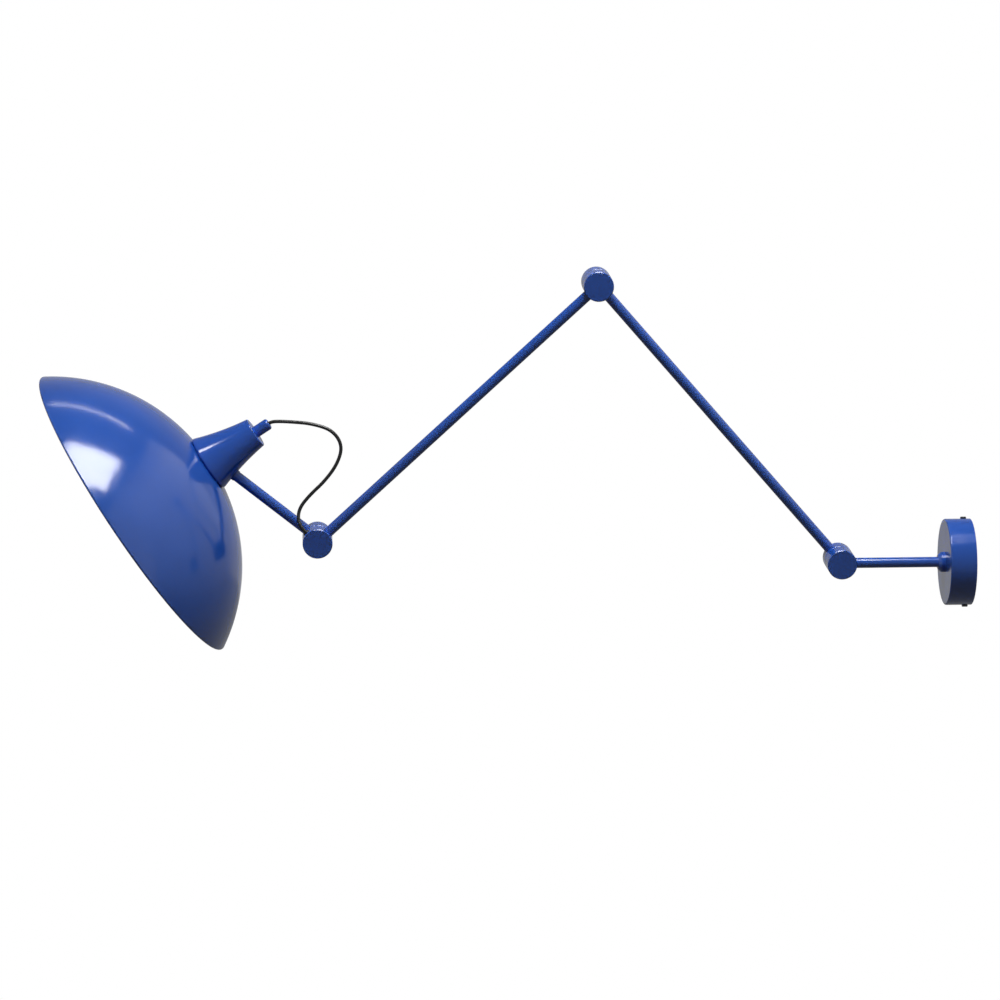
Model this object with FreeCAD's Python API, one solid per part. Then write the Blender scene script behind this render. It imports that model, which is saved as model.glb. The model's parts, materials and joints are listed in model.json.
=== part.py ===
import FreeCAD, Part
import math
import os

# Articulating wall lamp. Millimetres and degrees.
# The wall is the plane x = 0, the lamp reaches out along -X, and +Z is up.
# The origin is the centre of the wall cover. The wall tube and the front arm lie in the plane
# y = 0; the rear arm, the short arm and the shade's axis lie one knuckle half behind it.

V = FreeCAD.Vector
ORIGIN = V(0, 0, 0)
BACK = V(0, 1, 0)

# ---- arms ---------------------------------------------------------------------------------
TUBE_R = 5.3
TUBE_BORE_R = 4.1
WALL_REACH = 133.6          # wall to the first knuckle
REAR_ARM = 384.9            # first knuckle to the elbow
FRONT_ARM = 388.2           # elbow to the head knuckle
SHORT_ARM = 133.4           # head knuckle to the shade's axis
REAR_ARM_ANGLE = 131.0     # directions in the X-Z plane, from +X towards +Z
FRONT_ARM_ANGLE = 222.5
SHORT_ARM_ANGLE = 141.3
SHADE_ANGLE = 33.25         # the shade's axis, from its mouth towards the cup

# ---- knuckles: distances along the pivot count from the parting plane -------------------------
KNUCKLE_R = 15.3
KNUCKLE_HALF = 20.0
KNUCKLE_BEVEL = 0.7
PARTING_GAP = 0.3           # each half stands back this far; the friction disc fills it
CAVITY_R = 11.5
WEB_TOP = 3.0
CAP_SEAT = 18.0
CAP_SPIGOT = 2.5
CAP_SPIGOT_WALL = 2.0
TUBE_SEAT_R = 12.0          # the arm tubes end this far from the pivot
PIVOT_R = 5.95
PIVOT_BORE_R = 4.5
PIVOT_HEAD_R = 8.5
PIVOT_HEAD = 2.2
PIVOT_NUT_ACROSS = 16.0
PIVOT_NUT = 2.4
SPRING_WASHER = 0.6
FRICTION_DISC_R = 13.4
RUNNING = 0.05              # radial and axial clearance of what turns

# ---- cable and cord ------------------------------------------------------------------------
CORD_R = 1.8
CABLE_GAP = 0.3             # between two arms' cables, in the middle of a pivot
ELBOW_R = 5.3               # bend of the cable from a tube into a hollow pivot
EXIT_ANGLE = 96.0           # cord hole in the head knuckle, from the front arm's direction
EXIT_BEND_R = 8.0
GROMMET_R = 3.0
GROMMET_FLANGE_R = 3.7
GROMMET_SEAT = 14.9         # the flange's seat, from the pivot
GROMMET_PROUD = 0.7

# ---- wall end ------------------------------------------------------------------------------
COVER_R = 44.5
COVER_DEPTH = 26.7
COVER_WALL = 1.2
COVER_EDGE_R = 1.5
HUB_R = 10.4
HUB_LENGTH = 7.0
HUB_CHAMFER = 3.2
HUB_EDGE_R = 0.8
HUB_SPIGOT_R = 7.0
HUB_SPIGOT = 7.6
HUB_NUT_ACROSS = 19.0
HUB_NUT = 5.0
SWIVEL_WASHER = 1.0
SWIVEL_RING_R = 9.5
SWIVEL_RING = 6.0
GRUB_R = 1.5
WALL_TUBE_END = 9.7         # the wall tube's end, from the wall
SIDE_SCREW_ROLL = 14.0      # the side screws' line leans this much from upright
SIDE_SCREW_FROM_WALL = 6.3
SIDE_SCREW_HEAD_R = 3.1
SIDE_SCREW_HEAD = 2.0
SIDE_SCREW_R = 2.0
SIDE_SCREW_LENGTH = 7.0
SIDE_SCREW_SLOT = 0.8
BRACKET_R = 42.4
BRACKET_SHEET = 1.5
BRACKET_HOLE_R = 10.0
BRACKET_TAB_WIDTH = 12.0
BRACKET_TAB = 11.5
BRACKET_TAB_SHEET = 1.0
SLOT_SPACING = 60.0
SLOT_WIDTH = 5.2
SLOT_LENGTH = 12.0
BLOCK_CENTRE_Y = 27.0
BLOCK_SIZE = V(13.0, 17.0, 29.0)
BLOCK_POLES = 3
BLOCK_PITCH = 9.0
BLOCK_GROOVE = 1.6
BLOCK_GROOVE_DEPTH = 2.5
WIRE_CHANNEL_R = 2.4
CLAMP_R = 2.3
CLAMP_BORE_R = 1.6
CLAMP_LENGTH = 14.0
CLAMP_SCREW_R = 1.5
CLAMP_SCREW_WELL_R = 1.9
CLAMP_SCREW_OUT = 4.5       # from the pole's middle
EARTH_HEAD_R = 3.4
EARTH_HEAD = 2.2
EARTH_SHANK = 6.3
EARTH_WASHER_R = 4.5
EARTH_WASHER = 1.0
EARTH_NUT_ACROSS = 7.0
EARTH_NUT = 3.0

# ---- head: heights along the shade's axis count from the mouth --------------------------------
SHADE_R = 166.2
SHADE_WALL = 1.0
SHADE_APEX = 92.8
SHADE_CROWN_R = 205.0       # the crown arc, then a tighter arc out to the rim
SHADE_CROWN_ANGLE = 11.0
SHADE_HOLE_R = 20.0
SHADE_HEM_R = 1.4
SHADE_HEM_TURN = 110.0
CROSSING = 99.7             # where the short arm's line meets the shade's axis
CUP_MOUTH = 91.15
CUP_MOUTH_R = 30.0
CUP_MIDDLE = 118.3
CUP_MIDDLE_R = 21.8
CUP_BACK = 150.3
CUP_BACK_R = 15.8
CUP_LIP_R = 2.0
CUP_BACK_EDGE_R = 1.2
CUP_WALL = 2.2
BOSS_R = 5.9
BOSS_FACE = 105.0           # the boss's outer face, along the short arm from the head knuckle
SADDLE_R = 6.6
SADDLE_TOP = 111.2
SWIVEL_PIN_R = 4.0
SWIVEL_PIN_PLUG = 22.0
SWIVEL_NUT_ACROSS = 12.0
SWIVEL_NUT = 1.6
SWIVEL_PIN_END = 113.5
GRIP_R = 6.0
GRIP_LENGTH = 16.5
GRIP_END_R = 2.4
NIPPLE_R = 4.95
NIPPLE_BORE_R = 3.2
NIPPLE_LENGTH = 12.0
HOLDER_R = 16.0
HOLDER_SKIRT_R = 19.6
HOLDER_SKIRT_TOP = 96.3
HOLDER_MOUTH = 75.3
HOLDER_TOP = 122.3
HOLDER_WALL = 1.9
HOLDER_NECK_R = 8.0
HOLDER_NECK = 6.0
HOLDER_SHOULDER_R = 13.2
HOLDER_SHOULDER = 12.0      # below the cap's top
HOLDER_CAP_SIDE = 6.0
HOLDER_CAP_EDGE_R = 3.0
SKIRT_WALL = 2.2
CORE_THICK = 5.0
CORE_SINK = 3.0             # the core's underside lies this far inside the lampholder's body
CORE_WELL_R = 1.6
SHELL_R = 14.0
SHELL_WALL = 0.5
SHELL_LENGTH = 20.0
THREAD_PITCH = 3.6
THREAD_WAVE = 0.35
THREAD_PLAY = 0.55
CONTACT = 117.3             # the bulb's end contact
CONTACT_STRIP = 0.6
CONTACT_WIDTH = 4.0
RING_R = 27.0
RING_DEPTH = 7.0
RING_GROOVES = 12
BULB_R = 30.0
BULB_LENGTH = 106.0
BULB_GLASS = 1.0
BULB_JOIN_ANGLE = 38.0      # where the globe passes into the neck, from the bulb's axis
BULB_NECK_R = 12.8
BULB_CAP_LENGTH = 22.0


# ---- helpers ----------------------------------------------------------------------------------
def direction(angle):
    turn = math.radians(angle)
    return V(math.cos(turn), 0, math.sin(turn))


def unit(vector):
    return vector * (1.0 / vector.Length)


class Axis:
    """A line with a start, a direction, and a side direction square to it."""

    def __init__(self, start, along, side=None):
        self.start = start
        self.along = unit(along)
        if side is None:
            side = BACK if abs(self.along.dot(BACK)) < 0.9 else V(1, 0, 0)
        self.side = unit(side - self.along * side.dot(self.along))
        self.third = self.along.cross(self.side)

    def at(self, height, out=0.0, across=0.0):
        return self.start + self.along * height + self.side * out + self.third * across


def rounded_wire(points, radii, closed):
    """Straight runs through the points, with a tangent arc of the given radius at each."""
    edges = []
    entries = []
    exits = []
    arcs = []
    count = len(points)
    for number, (corner, radius) in enumerate(zip(points, radii)):
        if radius == 0:
            entries.append(corner)
            exits.append(corner)
            arcs.append(None)
            continue
        back = unit(points[number - 1] - corner)
        ahead = unit(points[(number + 1) % count] - corner)
        half = back.getAngle(ahead) / 2
        tangent = radius / math.tan(half)
        middle = corner + unit(back + ahead) * (radius / math.sin(half) - radius)
        entries.append(corner + back * tangent)
        exits.append(corner + ahead * tangent)
        arcs.append(Part.Arc(entries[-1], middle, exits[-1]).toShape())
    for number in range(count):
        if arcs[number] is not None:
            edges.append(arcs[number])
        if number + 1 == count and not closed:
            break
        leave = exits[number]
        reach = entries[(number + 1) % count]
        if leave.distanceToPoint(reach) > 1e-6:
            edges.append(Part.LineSegment(leave, reach).toShape())
    return Part.Wire(edges)


def turned(axis, corners):
    """A solid of revolution. A corner is (radius, height) or (radius, height, rounding)."""
    points = [axis.at(corner[1], corner[0]) for corner in corners]
    radii = [corner[2] if len(corner) > 2 else 0 for corner in corners]
    face = Part.Face(rounded_wire(points, radii, closed=True))
    return face.revolve(axis.start, axis.along, 360)


def ring(axis, bore, outer, low, high):
    return turned(axis, [(bore, low), (outer, low), (outer, high), (bore, high)])


def rod(axis, radius, low, high):
    return Part.makeCylinder(radius, high - low, axis.at(low), axis.along)


def hexagon(axis, across_flats, bore, low, high):
    corner = across_flats / 2 / math.cos(math.radians(30))
    turns = [math.radians(60 * step) for step in range(6)]
    points = [axis.at(low, corner * math.cos(t), corner * math.sin(t)) for t in turns]
    face = Part.Face(Part.makePolygon(points + points[:1]))
    return face.extrude(axis.along * (high - low)).cut(rod(axis, bore, low - 1, high + 1))


def swept(name, points, radii):
    """A round cable along straight runs and tangent arcs; prints its length and radii."""
    path = rounded_wire(points, radii, closed=False)
    section = Part.Wire(Part.makeCircle(CORD_R, points[0], points[1] - points[0]))
    cable = path.makePipeShell([section], True, False)
    solid = Part.Solid(cable) if cable.ShapeType != "Solid" else cable
    expected = math.pi * CORD_R ** 2 * path.Length
    print("%s: length %.1f mm, volume %.4f of section times length, radii %s" % (
        name, path.Length, solid.Volume / expected, [round(r, 1) for r in radii if r]))
    return solid


def free_bends(points):
    """The radii of a free cord's bends: 0.45 of the shorter run over tan(half the turn)."""
    radii = [0]
    for before, here, after in zip(points, points[1:], points[2:]):
        turn = (here - before).getAngle(after - here)
        shorter = min((here - before).Length, (after - here).Length)
        radii.append(0.45 * shorter / math.tan(turn / 2))
    return radii + [0]


# ---- places -----------------------------------------------------------------------------------
PARTING = BACK * (KNUCKLE_HALF / 2)
REAR_PLANE = BACK * KNUCKLE_HALF

wall_pivot = V(-WALL_REACH, 0, 0)
elbow_pivot = wall_pivot + direction(REAR_ARM_ANGLE) * REAR_ARM
head_pivot = elbow_pivot + direction(FRONT_ARM_ANGLE) * FRONT_ARM

wall_line = Axis(ORIGIN, V(-1, 0, 0), V(0, 0, 1))
short_line = Axis(head_pivot + REAR_PLANE, direction(SHORT_ARM_ANGLE))
mouth_centre = short_line.at(SHORT_ARM) - direction(SHADE_ANGLE) * CROSSING
head_line = Axis(mouth_centre, direction(SHADE_ANGLE))


def front_side(pivot):
    return Axis(pivot + PARTING, -BACK)


def rear_side(pivot):
    return Axis(pivot + PARTING, BACK)


parts = {}


# ---- knuckles -----------------------------------------------------------------------------------
def knuckle_half(side, arm):
    """One barrel half: a cup with a web at the parting plane and a seat for its arm tube."""
    barrel = turned(side, [
        (PIVOT_R + RUNNING, PARTING_GAP),
        (KNUCKLE_R - KNUCKLE_BEVEL, PARTING_GAP),
        (KNUCKLE_R, PARTING_GAP + KNUCKLE_BEVEL),
        (KNUCKLE_R, CAP_SEAT),
        (CAVITY_R, CAP_SEAT),
        (CAVITY_R, WEB_TOP),
        (PIVOT_R + RUNNING, WEB_TOP)])
    seat = Axis(side.at(KNUCKLE_HALF / 2), arm)
    return barrel.cut(rod(seat, TUBE_R, TUBE_SEAT_R, KNUCKLE_R + 1)).cut(
        rod(seat, TUBE_BORE_R, CAVITY_R - 2, TUBE_SEAT_R))


def knuckle_cap(side):
    """The plain closing cap: a disc with a short ring that plugs the barrel."""
    plug = CAVITY_R - RUNNING
    return turned(side, [
        (0, KNUCKLE_HALF),
        (KNUCKLE_R - KNUCKLE_BEVEL, KNUCKLE_HALF),
        (KNUCKLE_R, KNUCKLE_HALF - KNUCKLE_BEVEL),
        (KNUCKLE_R, CAP_SEAT),
        (plug, CAP_SEAT),
        (plug, CAP_SEAT - CAP_SPIGOT),
        (plug - CAP_SPIGOT_WALL, CAP_SEAT - CAP_SPIGOT),
        (plug - CAP_SPIGOT_WALL, CAP_SEAT),
        (0, CAP_SEAT)])


def pivot_bolt(rear):
    """Hollow bolt: its head is in the front half, its thread comes out in the rear half."""
    end = WEB_TOP + RUNNING + SPRING_WASHER + PIVOT_NUT
    return turned(rear, [
        (PIVOT_BORE_R, -WEB_TOP - PIVOT_HEAD),
        (PIVOT_HEAD_R, -WEB_TOP - PIVOT_HEAD, 0.6),
        (PIVOT_HEAD_R, -WEB_TOP),
        (PIVOT_R, -WEB_TOP),
        (PIVOT_R, end),
        (PIVOT_BORE_R, end)])


def spring_washer(rear):
    """A shallow cone, pressed nearly flat by the nut."""
    low = WEB_TOP + RUNNING
    rise = 0.25
    return turned(rear, [
        (PIVOT_R + RUNNING, low + rise),
        (PIVOT_HEAD_R + 1, low),
        (PIVOT_HEAD_R + 1, low + SPRING_WASHER - rise),
        (PIVOT_R + RUNNING, low + SPRING_WASHER)])


def pivot_nut(rear):
    low = WEB_TOP + RUNNING + SPRING_WASHER
    return hexagon(rear, PIVOT_NUT_ACROSS, PIVOT_R, low, low + PIVOT_NUT)


def friction_disc(rear):
    return ring(rear, PIVOT_R + RUNNING, FRICTION_DISC_R, -PARTING_GAP, PARTING_GAP - RUNNING)


rear_arm_out = direction(REAR_ARM_ANGLE)
front_arm_out = direction(FRONT_ARM_ANGLE)
short_arm_out = direction(SHORT_ARM_ANGLE)
cord_exit = direction(FRONT_ARM_ANGLE - 180 + EXIT_ANGLE)

parts["wall_knuckle_front_half"] = knuckle_half(front_side(wall_pivot), V(1, 0, 0))
parts["wall_knuckle_rear_half"] = knuckle_half(rear_side(wall_pivot), rear_arm_out)
parts["elbow_front_half"] = knuckle_half(front_side(elbow_pivot), front_arm_out)
parts["elbow_rear_half"] = knuckle_half(rear_side(elbow_pivot), -rear_arm_out)
parts["head_knuckle_rear_half"] = knuckle_half(rear_side(head_pivot), short_arm_out)

exit_line = Axis(head_pivot, cord_exit)
exit_half = knuckle_half(front_side(head_pivot), -front_arm_out)
parts["head_knuckle_front_half"] = exit_half.cut(
    rod(exit_line, GROMMET_R, CAVITY_R - 2, KNUCKLE_R + 1)).cut(
    rod(exit_line, GROMMET_FLANGE_R, GROMMET_SEAT, KNUCKLE_R + 1))

parts["wall_knuckle_cap"] = knuckle_cap(front_side(wall_pivot))
parts["head_knuckle_cap"] = knuckle_cap(rear_side(head_pivot))
for name, side, pivots in (
        ("rear_arm_caps", rear_side, (wall_pivot, elbow_pivot)),
        ("front_arm_caps", front_side, (elbow_pivot, head_pivot))):
    parts[name] = Part.makeCompound([knuckle_cap(side(pivot)) for pivot in pivots])

for group, pivots in (("wall", [wall_pivot]), ("front_arm", [elbow_pivot, head_pivot])):
    for name, make in (("pivot_bolt", pivot_bolt), ("pivot_nut", pivot_nut),
                       ("spring_washer", spring_washer), ("friction_disc", friction_disc)):
        made = [make(rear_side(pivot)) for pivot in pivots]
        plural = "s" if len(made) > 1 else ""
        parts["%s_%s%s" % (group, name, plural)] = Part.makeCompound(made)


# ---- arm tubes ------------------------------------------------------------------------------------
def arm_tube(axis, low, high):
    return ring(axis, TUBE_BORE_R, TUBE_R, low, high)


parts["wall_tube"] = arm_tube(wall_line, WALL_TUBE_END, WALL_REACH - TUBE_SEAT_R)
parts["rear_arm_tube"] = arm_tube(
    Axis(wall_pivot + REAR_PLANE, rear_arm_out), TUBE_SEAT_R, REAR_ARM - TUBE_SEAT_R)
parts["front_arm_tube"] = arm_tube(
    Axis(elbow_pivot, front_arm_out), TUBE_SEAT_R, FRONT_ARM - TUBE_SEAT_R)
parts["short_arm_tube"] = arm_tube(short_line, TUBE_SEAT_R, BOSS_FACE - 2 * RUNNING)


# ---- wall cover, bracket and hub ---------------------------------------------------------------------
earth_line = Axis(V(0, -BLOCK_CENTRE_Y, 0), V(-1, 0, 0))


def side_screw_lines():
    """The two side screws' axes, pointing outwards from the cover's middle."""
    lean = math.radians(SIDE_SCREW_ROLL)
    out = V(0, math.sin(lean), math.cos(lean))
    start = V(-SIDE_SCREW_FROM_WALL, 0, 0)
    return [Axis(start, out, V(1, 0, 0)), Axis(start, -out, V(1, 0, 0))]


def wall_cover():
    inner = COVER_R - COVER_WALL
    cup = turned(wall_line, [
        (HUB_SPIGOT_R, COVER_DEPTH - COVER_WALL),
        (inner, COVER_DEPTH - COVER_WALL, COVER_EDGE_R - COVER_WALL / 2),
        (inner, 0),
        (COVER_R, 0),
        (COVER_R, COVER_DEPTH, COVER_EDGE_R),
        (HUB_SPIGOT_R, COVER_DEPTH)])
    for line in side_screw_lines():
        cup = cup.cut(rod(line, SIDE_SCREW_R + 0.2, inner - 2, COVER_R + 1))
    return cup


def wall_bracket():
    """A round plate with two screw slots, a cable hole and two bent, threaded tabs."""
    plate = ring(wall_line, BRACKET_HOLE_R, BRACKET_R, 0, BRACKET_SHEET)
    straight = SLOT_LENGTH - SLOT_WIDTH
    for side in (-1, 1):
        centre = side * SLOT_SPACING / 2
        slot = Part.makeBox(4, SLOT_WIDTH, straight,
                            V(-3, -SLOT_WIDTH / 2, centre - straight / 2))
        for end in (-1, 1):
            slot = slot.fuse(Part.makeCylinder(
                SLOT_WIDTH / 2, 4, V(-3, 0, centre + end * straight / 2), V(1, 0, 0)))
        plate = plate.cut(slot.removeSplitter())
    for line in side_screw_lines():
        low = BRACKET_R - BRACKET_SHEET
        root = ORIGIN - line.third * (BRACKET_TAB_WIDTH / 2) + line.along * low
        width = line.third * BRACKET_TAB_WIDTH
        corners = [root, root + width, root + width - V(BRACKET_TAB, 0, 0),
                   root - V(BRACKET_TAB, 0, 0)]
        tab = Part.Face(Part.makePolygon(corners + corners[:1])).extrude(
            line.along * BRACKET_TAB_SHEET)
        plate = plate.fuse(tab).cut(rod(line, SIDE_SCREW_R, low - 2, BRACKET_R + 2))
    return plate.cut(rod(earth_line, SIDE_SCREW_R, -1, BRACKET_SHEET + 1)).removeSplitter()


def side_screw(line):
    head = turned(line, [
        (0, COVER_R + SIDE_SCREW_HEAD),
        (SIDE_SCREW_HEAD_R, COVER_R + SIDE_SCREW_HEAD, 0.9),
        (SIDE_SCREW_HEAD_R, COVER_R),
        (SIDE_SCREW_R, COVER_R),
        (SIDE_SCREW_R, COVER_R - SIDE_SCREW_LENGTH),
        (0, COVER_R - SIDE_SCREW_LENGTH)])
    depth = SIDE_SCREW_HEAD / 2
    slot = Part.makeBox(SIDE_SCREW_SLOT, 4 * SIDE_SCREW_HEAD_R, depth)
    slot.translate(V(-SIDE_SCREW_SLOT / 2, -2 * SIDE_SCREW_HEAD_R, -depth))
    placed = FreeCAD.Placement(line.at(COVER_R + SIDE_SCREW_HEAD),
                               FreeCAD.Rotation(V(0, 0, 1), line.along))
    slot.Placement = placed.multiply(slot.Placement)
    return head.cut(slot)


def hub_collar():
    """Chamfered collar outside, threaded spigot through the cover, bored for the tube."""
    front = COVER_DEPTH + HUB_LENGTH
    return turned(wall_line, [
        (TUBE_R + RUNNING, front),
        (HUB_R - HUB_CHAMFER, front),
        (HUB_R, front - HUB_CHAMFER, HUB_EDGE_R),
        (HUB_R, COVER_DEPTH),
        (HUB_SPIGOT_R, COVER_DEPTH),
        (HUB_SPIGOT_R, COVER_DEPTH - HUB_SPIGOT),
        (TUBE_R + RUNNING, COVER_DEPTH - HUB_SPIGOT)])


def swivel_ring(high, grub_line):
    body = ring(wall_line, TUBE_R, SWIVEL_RING_R, high - SWIVEL_RING, high)
    return body.cut(rod(grub_line, GRUB_R, TUBE_R - 1, SWIVEL_RING_R + 1))


def earth_screw():
    """Screw, washer and nut for the earth wire, through the bracket."""
    top = EARTH_SHANK + EARTH_HEAD
    screw = turned(earth_line, [
        (0, top),
        (EARTH_HEAD_R, top, EARTH_HEAD / 2),
        (EARTH_HEAD_R, EARTH_SHANK),
        (SIDE_SCREW_R, EARTH_SHANK),
        (SIDE_SCREW_R, 0.2),
        (0, 0.2)])
    washer = ring(earth_line, SIDE_SCREW_R + 0.1, EARTH_WASHER_R,
                  EARTH_SHANK - EARTH_WASHER, EARTH_SHANK)
    nut = hexagon(earth_line, EARTH_NUT_ACROSS, SIDE_SCREW_R,
                  BRACKET_SHEET, BRACKET_SHEET + EARTH_NUT)
    return Part.makeCompound([screw, washer, nut])


def pole_channels():
    """Each pole's wire channel, with the two screw wells that open into it."""
    depth = -BRACKET_SHEET - BLOCK_SIZE.x / 2
    for pole in range(BLOCK_POLES):
        height = (pole - (BLOCK_POLES - 1) / 2) * BLOCK_PITCH
        channel = Axis(V(depth, BLOCK_CENTRE_Y, height), BACK)
        wells = [Axis(channel.at(side * CLAMP_SCREW_OUT), V(-1, 0, 0)) for side in (-1, 1)]
        yield channel, wells


def terminal_block():
    """Three poles side by side, parted by shallow grooves."""
    corner = V(-BRACKET_SHEET - BLOCK_SIZE.x, BLOCK_CENTRE_Y - BLOCK_SIZE.y / 2,
               -BLOCK_SIZE.z / 2)
    block = Part.makeBox(BLOCK_SIZE.x, BLOCK_SIZE.y, BLOCK_SIZE.z, corner)
    for channel, wells in pole_channels():
        block = block.cut(rod(channel, WIRE_CHANNEL_R, -BLOCK_SIZE.y, BLOCK_SIZE.y))
        for well in wells:
            block = block.cut(rod(well, CLAMP_SCREW_WELL_R, 0, BLOCK_SIZE.x))
    for side in (-1, 1):
        groove = Part.makeBox(BLOCK_GROOVE_DEPTH, BLOCK_SIZE.y, BLOCK_GROOVE)
        groove.translate(V(corner.x, corner.y, (side * BLOCK_PITCH - BLOCK_GROOVE) / 2))
        block = block.cut(groove)
    return block


def terminal_clamps():
    """In each pole a brass tube for the wires, and two clamping screws."""
    made = []
    for channel, wells in pole_channels():
        clamp = ring(channel, CLAMP_BORE_R, CLAMP_R, -CLAMP_LENGTH / 2, CLAMP_LENGTH / 2)
        for well in wells:
            clamp = clamp.fuse(rod(well, CLAMP_SCREW_R, CLAMP_BORE_R - 0.2, BLOCK_SIZE.x * 0.4))
        made.append(clamp)
    return Part.makeCompound(made)


nut_top = COVER_DEPTH - COVER_WALL
nut_low = nut_top - HUB_NUT
washer_top = COVER_DEPTH - HUB_SPIGOT - RUNNING
ring_top = washer_top - SWIVEL_WASHER
grub_line = Axis(V(-(ring_top - SWIVEL_RING / 2), 0, 0), V(0, 0, 1))

parts["wall_cover"] = wall_cover()
parts["wall_bracket"] = wall_bracket()
parts["cover_screws"] = Part.makeCompound([side_screw(line) for line in side_screw_lines()])
parts["hub_collar"] = hub_collar()
parts["hub_nut"] = hexagon(wall_line, HUB_NUT_ACROSS, HUB_SPIGOT_R, nut_low, nut_top)
parts["swivel_friction_washer"] = ring(
    wall_line, TUBE_R, SWIVEL_RING_R, ring_top, washer_top)
parts["swivel_ring"] = swivel_ring(ring_top, grub_line)
parts["swivel_grub_screw"] = rod(grub_line, GRUB_R, TUBE_R, SWIVEL_RING_R - 0.3)
parts["earth_screw"] = earth_screw()
parts["terminal_block"] = terminal_block()
parts["terminal_clamps"] = terminal_clamps()


# ---- shade ------------------------------------------------------------------------------------------
def shade_arcs(offset):
    """The crown arc and the shoulder arc of the shade's skin, moved in by offset.

    Both are given as (centre height, centre radius, arc radius, start turn, end turn), with the
    turn counted from the shade's axis. The shoulder is tangent to the crown and ends at the rim.
    """
    crown_turn = math.radians(SHADE_CROWN_ANGLE)
    crown_centre = SHADE_APEX - SHADE_CROWN_R
    join_r = SHADE_CROWN_R * math.sin(crown_turn)
    join_h = crown_centre + SHADE_CROWN_R * math.cos(crown_turn)
    # the shoulder's centre lies on the crown's radius at the join, so that the rim is met
    spread = SHADE_R - join_r
    shoulder = (join_h ** 2 + spread ** 2) / (
        2 * (join_h * math.cos(crown_turn) - spread * math.sin(crown_turn)))
    centre_r = join_r - shoulder * math.sin(crown_turn)
    centre_h = join_h - shoulder * math.cos(crown_turn)
    rim_turn = math.acos(-centre_h / shoulder)
    hole_turn = math.asin(SHADE_HOLE_R / (SHADE_CROWN_R - offset))
    return ((crown_centre, 0.0, SHADE_CROWN_R - offset, hole_turn, crown_turn),
            (centre_h, centre_r, shoulder - offset, crown_turn, rim_turn))


def skin_point(arc, turn):
    centre_h, centre_r, radius = arc[:3]
    return head_line.at(centre_h + radius * math.cos(turn), centre_r + radius * math.sin(turn))


def skin_edge(arc):
    start, end = arc[3:]
    return Part.Arc(skin_point(arc, start), skin_point(arc, (start + end) / 2),
                    skin_point(arc, end)).toShape()


def shade():
    """Spun dome, hollow and open at the mouth, with its rim turned in to a round hem."""
    outer = shade_arcs(0)
    inner = shade_arcs(SHADE_WALL)
    rim_turn = outer[1][4]
    hem_centre = outer[1][:2] + (outer[1][2] - SHADE_HEM_R,)
    centre = skin_point(hem_centre, rim_turn)
    radial = unit(skin_point(outer[1], rim_turn) - centre)
    onward = radial.cross(head_line.third)
    onward = onward if onward.dot(head_line.along) < 0 else -onward

    def hem_edge(radius):
        def point(turn):
            angle = math.radians(turn)
            return centre + radial * (radius * math.cos(angle)) + onward * (
                radius * math.sin(angle))
        return Part.Arc(point(0), point(SHADE_HEM_TURN / 2), point(SHADE_HEM_TURN)).toShape(), \
            point(SHADE_HEM_TURN)

    outer_hem, outer_end = hem_edge(SHADE_HEM_R)
    inner_hem, inner_end = hem_edge(SHADE_HEM_R - SHADE_WALL)
    edges = [skin_edge(outer[0]), skin_edge(outer[1]), outer_hem,
             Part.LineSegment(outer_end, inner_end).toShape(), inner_hem,
             skin_edge(inner[1]), skin_edge(inner[0]),
             Part.LineSegment(skin_point(inner[0], inner[0][3]),
                              skin_point(outer[0], outer[0][3])).toShape()]
    face = Part.Face(Part.Wire(Part.__sortEdges__(edges)))
    return face.revolve(head_line.start, head_line.along, 360)


# ---- cup, boss and head swivel --------------------------------------------------------------------------
def cup_core(inset):
    """The cup filled solid, with a slightly hollow side; with an inset, the space inside it."""
    back_height = CUP_BACK - inset
    mouth = head_line.at(CUP_MOUTH, CUP_MOUTH_R - inset)
    middle = head_line.at(CUP_MIDDLE, CUP_MIDDLE_R - inset)
    back = head_line.at(back_height, CUP_BACK_R - inset)
    side = Part.Arc(mouth, middle, back).toShape()
    ends = Part.makePolygon([back, head_line.at(back_height), head_line.at(CUP_MOUTH), mouth])
    face = Part.Face(Part.Wire([side] + ends.Edges))
    return face.revolve(head_line.start, head_line.along, 360)


def cup_envelope():
    """The filled cup with its lip and its back edge rounded."""
    core = cup_core(0)
    for radius, rounding in ((CUP_MOUTH_R, CUP_LIP_R), (CUP_BACK_R, CUP_BACK_EDGE_R)):
        rims = [edge for edge in core.Edges
                if edge.Curve.TypeId == "Part::GeomCircle"
                and abs(edge.Curve.Radius - radius) < 1e-3]
        core = core.makeFillet(rounding, rims)
    return core


def cup():
    shell = cup_envelope().cut(cup_core(CUP_WALL))
    shell = shell.cut(rod(head_line, NIPPLE_R + 0.1, CUP_BACK - 5, CUP_BACK + 1))
    return shell.cut(rod(short_line, SWIVEL_PIN_R + 0.4, BOSS_FACE, SADDLE_TOP + 2))


def swivel_boss():
    """Turned ring on the cup's side; its foot follows the cup."""
    blank = ring(short_line, SWIVEL_PIN_R + RUNNING, BOSS_R, BOSS_FACE, SADDLE_TOP)
    return blank.cut(cup_envelope()).removeSplitter()


def swivel_saddle():
    """Inside the cup, a washer whose foot follows the wall and whose top is flat."""
    blank = ring(short_line, SWIVEL_PIN_R + RUNNING, SADDLE_R, BOSS_FACE, SADDLE_TOP)
    return blank.common(cup_core(CUP_WALL)).removeSplitter()


def swivel_pin():
    """Plugs the short arm tube and runs through the boss, the cup and the saddle."""
    shoulder = BOSS_FACE - 2 * RUNNING
    return turned(short_line, [
        (0, shoulder - SWIVEL_PIN_PLUG),
        (TUBE_BORE_R, shoulder - SWIVEL_PIN_PLUG),
        (TUBE_BORE_R, shoulder),
        (SWIVEL_PIN_R, shoulder),
        (SWIVEL_PIN_R, SWIVEL_PIN_END),
        (0, SWIVEL_PIN_END)])


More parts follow.
